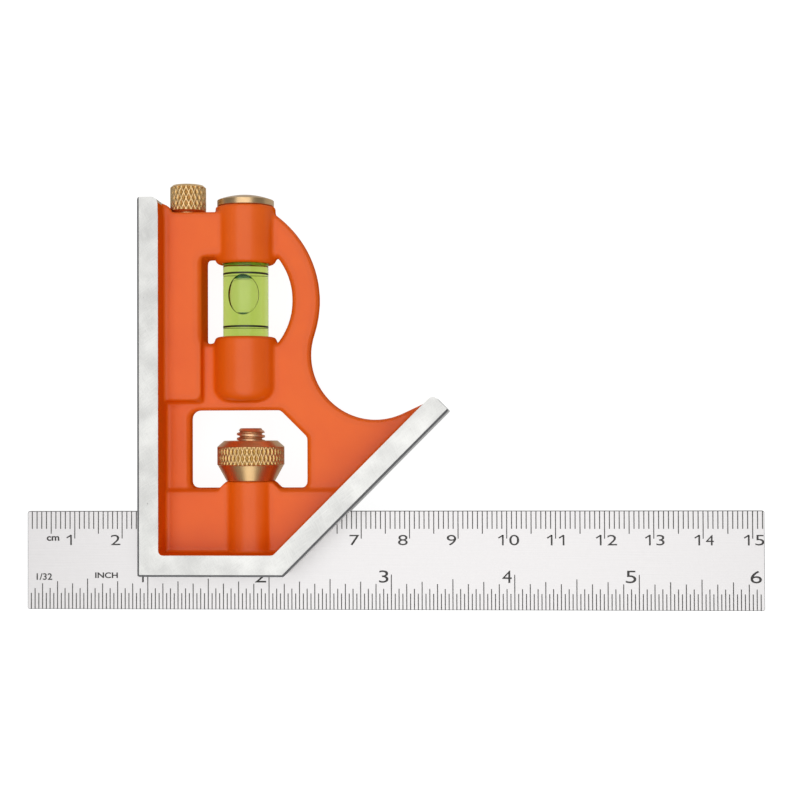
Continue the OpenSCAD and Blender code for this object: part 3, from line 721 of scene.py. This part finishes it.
def roll_knurl(bm, x, low, high, count, rise, depth):
    """Rolls a diamond knurl into the band between two heights, count diamonds round, each
    as tall as rise."""
    groove = bm.verts.layers.float.new("groove")
    for v in bm.verts:
        y = v.co.y / MM
        across, deep = v.co.x / MM - x, v.co.z / MM - MID_Z
        radius = math.hypot(across, deep)
        if not low <= y <= high:
            continue
        diamonds_round = math.atan2(deep, across) / math.tau * count
        diamonds_up = (y - low) / rise
        ridge = max(abs((diamonds_round + way * diamonds_up) % 1 - 0.5) for way in (1, -1)) * 2
        pit = max(0, min(1, (LAND - ridge) / FLANK)) * min(1, (y - low) / RUN_OUT,
                                                           (high - y) / RUN_OUT)
        sunk = depth * pit
        v[groove] = pit
        v.co.x = (x + across * (1 - sunk / radius)) * MM
        v.co.z = (MID_Z + deep * (1 - sunk / radius)) * MM


def rows(low, high, radius, gap=0.12):
    """Profile points up a plain band, close enough for a knurl."""
    n = round((high - low) / gap)
    return [(radius, low + (high - low) * i / n) for i in range(n + 1)]


print("a knurl's crest is flat from", LAND, "up, and its flank is", FLANK, "wide")

# %% [markdown]
# ## The clamp nut
# A brass nut turned in one setting: a smooth cone below, the knurled grip, a chamfer above
# and a chamfered bore. Its profile is the CAD node's, spun in steps fine enough for the
# knurl.

# %% The nut
(_, SEAT_Y, _), (nut_side, NUT_TOP, _) = box("clamp_nut")
NUT_BAND = (22.45, 26.15)
BORE_R, BORE_CHAMFER = 3.0, 0.4
cone = [(5.0, SEAT_Y), (5.1, SEAT_Y + 0.1), (5.13, SEAT_Y + 0.155), (6.77, 22.245), (6.8, 22.3)]
chamfer = [(5.66, NUT_TOP - 0.1), (5.62, NUT_TOP - 0.06), (5.5, NUT_TOP)]
bore = [(BORE_R + BORE_CHAMFER, NUT_TOP), (BORE_R, NUT_TOP - BORE_CHAMFER),
        (BORE_R, SEAT_Y + BORE_CHAMFER), (BORE_R + BORE_CHAMFER, SEAT_Y)]
nut_profile = bore[-1:] + cone + rows(*NUT_BAND, nut_side - CLAMP_X) + chamfer + bore
bm = spun(nut_profile, CLAMP_X, steps=432)
roll_knurl(bm, CLAMP_X, *NUT_BAND, count=45, rise=2.7, depth=0.28)
nut = piece("knurled_nut", bm, "clamp_nut", nut_brass, crease=35)
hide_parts("clamp_nut")

# %% [markdown]
# ## The clamp bolt
# The stem carries a rolled thread of 1 mm pitch. Spin with a step along its axis sweeps one
# turn's profile into a true helix, which starts and ends beyond the stem and is cut off
# flush. The collar, the leg and the tongue below come from the CAD node, cut off just above
# the thread's foot.

# %% The bolt
STEM_TOP, THREAD_FOOT = box("clamp_bolt")[1][1], 18.2
CREST_R, ROOT_R, PITCH_MM = 2.93, 2.33, 1.0
TOP_CHAMFER = 0.8
THREAD_FILM = 0.7  # how much film the root of the thread keeps, where a knurl's pit has 1
TURN_STEPS = 48
THREAD = [(ROOT_R, 0), (ROOT_R, 0.24), (CREST_R, 0.42), (CREST_R, 0.82), (ROOT_R, 1)]

bm = bmesh.new()
start = THREAD_FOOT - 1.5 * PITCH_MM
turns = math.ceil((STEM_TOP - start) / PITCH_MM) + 1
points = [bm.verts.new(at(CLAMP_X + r, start + y * PITCH_MM)) for r, y in THREAD]
lines = [bm.edges.new(pair) for pair in zip(points, points[1:])]
bmesh.ops.spin(bm, geom=points + lines, cent=at(CLAMP_X, 0), axis=(0, 1, 0),
               dvec=(0, PITCH_MM / TURN_STEPS * MM, 0), angle=-math.tau * turns,
               steps=TURN_STEPS * turns)
bmesh.ops.remove_doubles(bm, verts=bm.verts[:], dist=0.003 * MM)
cut(bm, at(0, STEM_TOP), Vector((0, 1, 0)))
cut(bm, at(0, THREAD_FOOT), Vector((0, -1, 0)))
groove = bm.verts.layers.float.new("groove")
for v in bm.verts:
    across, deep = v.co.x / MM - CLAMP_X, v.co.z / MM - MID_Z
    radius = math.hypot(across, deep)
    v[groove] = max(0, min(1, (CREST_R - radius) / (CREST_R - ROOT_R))) * THREAD_FILM
    most = CREST_R - TOP_CHAMFER + (STEM_TOP - v.co.y / MM)
    if radius > most:
        v.co.x = (CLAMP_X + across * most / radius) * MM
        v.co.z = (MID_Z + deep * most / radius) * MM
bmesh.ops.recalc_face_normals(bm, faces=bm.faces[:])
stem = piece("threaded_stem", bm, "clamp_bolt", bolt_brass, crease=50)

bm = merged_copy("clamp_bolt")
cut(bm, at(0, THREAD_FOOT + 0.1), Vector((0, 1, 0)))
foot = piece("bolt_collar_and_leg", bm, "clamp_bolt", bolt_brass, crease=25)
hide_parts("clamp_bolt")

# %% [markdown]
# ## The scriber's knob and the vial's cap
# Both are turned, so both are spun from a profile. The knob is knurled over its whole side,
# with a chamfer at the top. The cap has a plug that goes into the vial's bore, a short
# straight edge and a low dome, which is an arc.

# %% The knob and the cap
(_, KNOB_Y, _), (knob_side, KNOB_TOP, _) = box("scriber_knob")
KNOB_R = knob_side - SCRIBER_X
KNOB_FOOT_CHAMFER, KNOB_TOP_CHAMFER = 0.45, 0.5
BAND_BELOW, TOP_RISE = 0.6, 0.12  # how far below the top the band and the chamfer end
KNOB_BAND = (KNOB_Y + KNOB_FOOT_CHAMFER, KNOB_TOP - BAND_BELOW)
knob_profile = [(0, KNOB_Y), (KNOB_R - KNOB_FOOT_CHAMFER, KNOB_Y), *rows(*KNOB_BAND, KNOB_R),
                (KNOB_R - KNOB_TOP_CHAMFER, KNOB_TOP - TOP_RISE), (0, KNOB_TOP)]
bm = spun(knob_profile, SCRIBER_X, steps=252)
roll_knurl(bm, SCRIBER_X, *KNOB_BAND, count=21, rise=2.35, depth=0.3)
knob = piece("knurled_knob", bm, "scriber", knob_brass, crease=35)
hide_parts("scriber_knob")

(_, PLUG_FOOT, _), (cap_side, CAP_TOP, _) = box("vial_cap")
CAP_R, CAP_FOOT, PLUG_R = cap_side - VIAL_X, 76.1, 4.7
CAP_CHAMFER = 0.12
DOME_RISE, DOME_STEPS = 1.15, 9
DOME_R = (CAP_R ** 2 + DOME_RISE ** 2) / (2 * DOME_RISE)
DOME_IN, EDGE_BELOW = 0.1, 0.06  # the dome starts inside its outline, the edge ends below it
cap_profile = [(0, PLUG_FOOT), (PLUG_R, PLUG_FOOT), (PLUG_R, CAP_FOOT),
               (CAP_R - CAP_CHAMFER, CAP_FOOT), (CAP_R, CAP_FOOT + CAP_CHAMFER),
               (CAP_R, CAP_TOP - DOME_RISE - EDGE_BELOW)]
for i in range(DOME_STEPS, -1, -1):
    radius = (CAP_R - DOME_IN) * i / DOME_STEPS
    cap_profile.append((radius, CAP_TOP - DOME_R + math.sqrt(DOME_R ** 2 - radius ** 2)))
bm = spun(cap_profile, VIAL_X, steps=96)
cap = piece("domed_cap", bm, "head", cap_brass, crease=25)
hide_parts("vial_cap")

# %% [markdown]
# ## The spirit vial
# The vial is a clear tube full of dyed spirit. One closed body stands for both, with the
# bubble as a hollow in it, because light bends only once at each side of the real one too.
# The bubble's skin faces into the hollow, so the dye stops there and it shows paler.

# %% The vial and its bubble
(_, VIAL_FOOT, _), (vial_side, VIAL_TOP, _) = box("vial_tube")
VIAL_R, VIAL_CHAMFER = vial_side - VIAL_X, 0.3
RINGS_Y = {name: (box("vial_" + name)[0][1] + box("vial_" + name)[1][1]) / 2
           for name in ("ring_upper", "ring_lower")}
BUBBLE_UP = 1.1  # how far the bubble stands above the middle between the rings
BUBBLE_Y = sum(RINGS_Y.values()) / 2 + BUBBLE_UP
BUBBLE_R, BUBBLE_HALF, BUBBLE_THICK = 3.0, 4.2, 0.6
WALL_R = 4.35  # how far from the vial's axis the bubble's top lies


def bubble(bm, inside=0):
    """Adds a flat ellipsoid that is bent round the vial's axis, just under its wall."""
    size = Vector((BUBBLE_R - inside, BUBBLE_HALF - inside, BUBBLE_THICK - inside / 2)) * MM
    skin = bmesh.ops.create_uvsphere(
        bm, u_segments=64, v_segments=48, radius=1,
        matrix=Matrix.Translation(at(VIAL_X, BUBBLE_Y)) @ Matrix.Diagonal(size).to_4x4())["verts"]
    for v in skin:
        across = v.co.x / MM - VIAL_X
        v.co.z += (math.sqrt(WALL_R ** 2 - across ** 2) - BUBBLE_THICK) * MM


vial_profile = [(0, VIAL_FOOT), (VIAL_R - VIAL_CHAMFER, VIAL_FOOT),
                (VIAL_R, VIAL_FOOT + VIAL_CHAMFER), (VIAL_R, VIAL_TOP - VIAL_CHAMFER),
                (VIAL_R - VIAL_CHAMFER, VIAL_TOP), (0, VIAL_TOP)]
bm = spun(vial_profile, VIAL_X, steps=128)
tube_faces = set(bm.faces)
bubble(bm)
bmesh.ops.reverse_faces(bm, faces=[face for face in bm.faces if face not in tube_faces])
vial = piece("spirit_vial", bm, "head", spirit, crease=40)
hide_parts("vial_tube", "vial_liquid")

# %% [markdown]
# ### The shade films and the rings
# Two thin dark green caps just inside the bubble's ends are painted shade, which stands in
# for the darker refraction there. Each is a slightly smaller bubble, cut off near its end.
# The rings are thin bands round the tube. They are narrower behind, where the tube magnifies them.

# %% The shade films and the rings
SHADE_FILM_INSIDE = 0.06
SHADE_FILMS = (("shade_film_upper", 1, 0.78), ("shade_film_lower", -1, 0.9))  # side, and where cut off
RING_HALF, RING_DEEP, RING_BACK = 0.2, 0.02, 0.3

# Each film is painted shade: a dark green cap where the bubble's ends refract darker.
for name, side, share in SHADE_FILMS:
    bm = bmesh.new()
    bubble(bm, inside=SHADE_FILM_INSIDE)
    cut(bm, at(0, BUBBLE_Y + side * share * BUBBLE_HALF), Vector((0, -side, 0)))
    film = piece(name, bm, "head", shade_film_finish, crease=40)

for name, y in RINGS_Y.items():
    inner, outer, low, high = VIAL_R - RING_DEEP, VIAL_R + RING_DEEP, y - RING_HALF, y + RING_HALF
    bm = spun([(inner, low), (outer, low), (outer, high), (inner, high), (inner, low)], VIAL_X,
              steps=128)
    for v in bm.verts:
        if v.co.z < MID_Z * MM:
            v.co.y = (y + (v.co.y / MM - y) * RING_BACK) * MM
    ring = piece(name, bm, "head", ring_ink)
    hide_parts("vial_" + name)

# %% [markdown]
# ## The CAD nodes that stay
# The needle, the bush, the spring and the plug have their right shape already. They only
# get their finish.

# %% Finishes for the CAD nodes
for node, finish in (("scriber_needle", ground), ("scriber_bush", knob_brass),
                     ("clamp_spring", wire), ("vial_plug", acrylic)):
    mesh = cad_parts[node].data
    mesh.materials.clear()
    mesh.materials.append(finish)
    print(node, "gets", finish.name)

# %% [markdown]
# ## Floor and room
# Floor and sky look white to the camera, also through the vial, with a strength of up to 1
# that Light Path picks out, so no extra light falls on the tool for that. For all else the
# room is dim, which gives the brass its dark sides, and the floor glows faintly, as a lit
# bench does. The floor's own paint is a mid grey that keeps the tool's shadow.

# %% The floor and the room
SKY_SEEN, FLOOR_SEEN, FLOOR_GLOW, ROOM_LIGHT = 1.0, 0.93, 0.42, 0.27
FLOOR_HALF, FLOOR_AT = 3, at(50, 35, -0.3)  # half its width in metres, and its middle


def seen_or_not(tree, seen, otherwise):
    """One strength for what the camera sees, also through the vial, and one for all else."""
    path = add(tree, "LightPath")
    direct = add(tree, "Math", {0: path.outputs["Is Camera Ray"],
                                1: path.outputs["Is Transmission Ray"]}, operation="MAXIMUM")
    strength = add(tree, "MapRange", {"Value": direct.outputs[0], "To Min": otherwise,
                                      "To Max": seen})
    return strength.outputs["Result"]


floor_paint, tree, shader = new_material("matt_grey_bench_paint", Roughness=0.9,
                                         Base_Color=linear("#707070"),
                                         Emission_Color=linear("#FFFFFF"))
tree.links.new(seen_or_not(tree, FLOOR_SEEN, FLOOR_GLOW), shader.inputs["Emission Strength"])
bm = bmesh.new()
bmesh.ops.create_grid(bm, x_segments=1, y_segments=1, size=FLOOR_HALF,
                      matrix=Matrix.Translation(FLOOR_AT))
mesh = bpy.data.meshes.new("floor")
bm.to_mesh(mesh)
bm.free()
mesh.materials.append(floor_paint)
floor = bpy.data.objects.new("floor", mesh)
bpy.context.scene.collection.objects.link(floor)
floor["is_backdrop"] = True

world = bpy.data.worlds.new("room")
world.use_nodes = True
sky = world.node_tree.nodes["Background"]
sky.inputs["Color"].default_value = linear("#FFFFFF")
strength = seen_or_not(world.node_tree, SKY_SEEN, ROOM_LIGHT)
world.node_tree.links.new(strength, sky.inputs["Strength"])
bpy.context.scene.world = world
print("floor and room: seen at", FLOOR_SEEN, SKY_SEEN, "and lit at", FLOOR_GLOW, ROOM_LIGHT)

# %% [markdown]
# ## The lamps
# A long softbox hangs over the tool and reaches far past its foot. It spans 30 degrees to
# each side, which is where the highlight on the round bosses ends. A fill lamp that metal
# doesn't show lifts the paint. A lamp's power is worked out from how bright it looks, so
# that its size can change and the metal keeps its look. The lamps' sizes and places are in
# metres.

# %% The softbox and the fill
SOFTBOX_WIDE, SOFTBOX_LONG, SOFTBOX_LIGHT, SOFTBOX_Y = 1.16, 3.0, 1.36, -0.7
FILL_WIDE, FILL_LIGHT, FILL_Y = 3.0, 0.44, 0.03
LAMPS_X, LAMPS_UP = 0.05, 1.0


def area_lamp(name, wide, long, light, y, in_metal):
    """A flat lamp that looks straight down. light is the brightness that it shows to metal."""
    lamp = bpy.data.lights.new(name, "AREA")
    lamp.shape = "RECTANGLE"
    lamp.size, lamp.size_y = wide, long
    lamp.energy = light * math.pi * wide * long
    made = bpy.data.objects.new(name, lamp)
    made.location = (LAMPS_X, y, LAMPS_UP)
    made.visible_camera = False
    made.visible_glossy = in_metal
    bpy.context.scene.collection.objects.link(made)
    print(name, round(lamp.energy, 2), "W")


area_lamp("softbox", SOFTBOX_WIDE, SOFTBOX_LONG, SOFTBOX_LIGHT, SOFTBOX_Y, in_metal=True)
area_lamp("fill", FILL_WIDE, FILL_WIDE, FILL_LIGHT, FILL_Y, in_metal=False)
bpy.context.scene.view_settings.view_transform = "Standard"

# %% [markdown]
# ## Finish
# The box of the dressed tool is set beside the CAD model's box, because the looks must not
# change its size.

# %% Compare the boxes and finish
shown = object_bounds()
for name, (low, high) in (("CAD", CAD_BOX), ("visual", shown)):
    print(name, [round(c / MM, 2) for c in low], [round(c / MM, 2) for c in high])
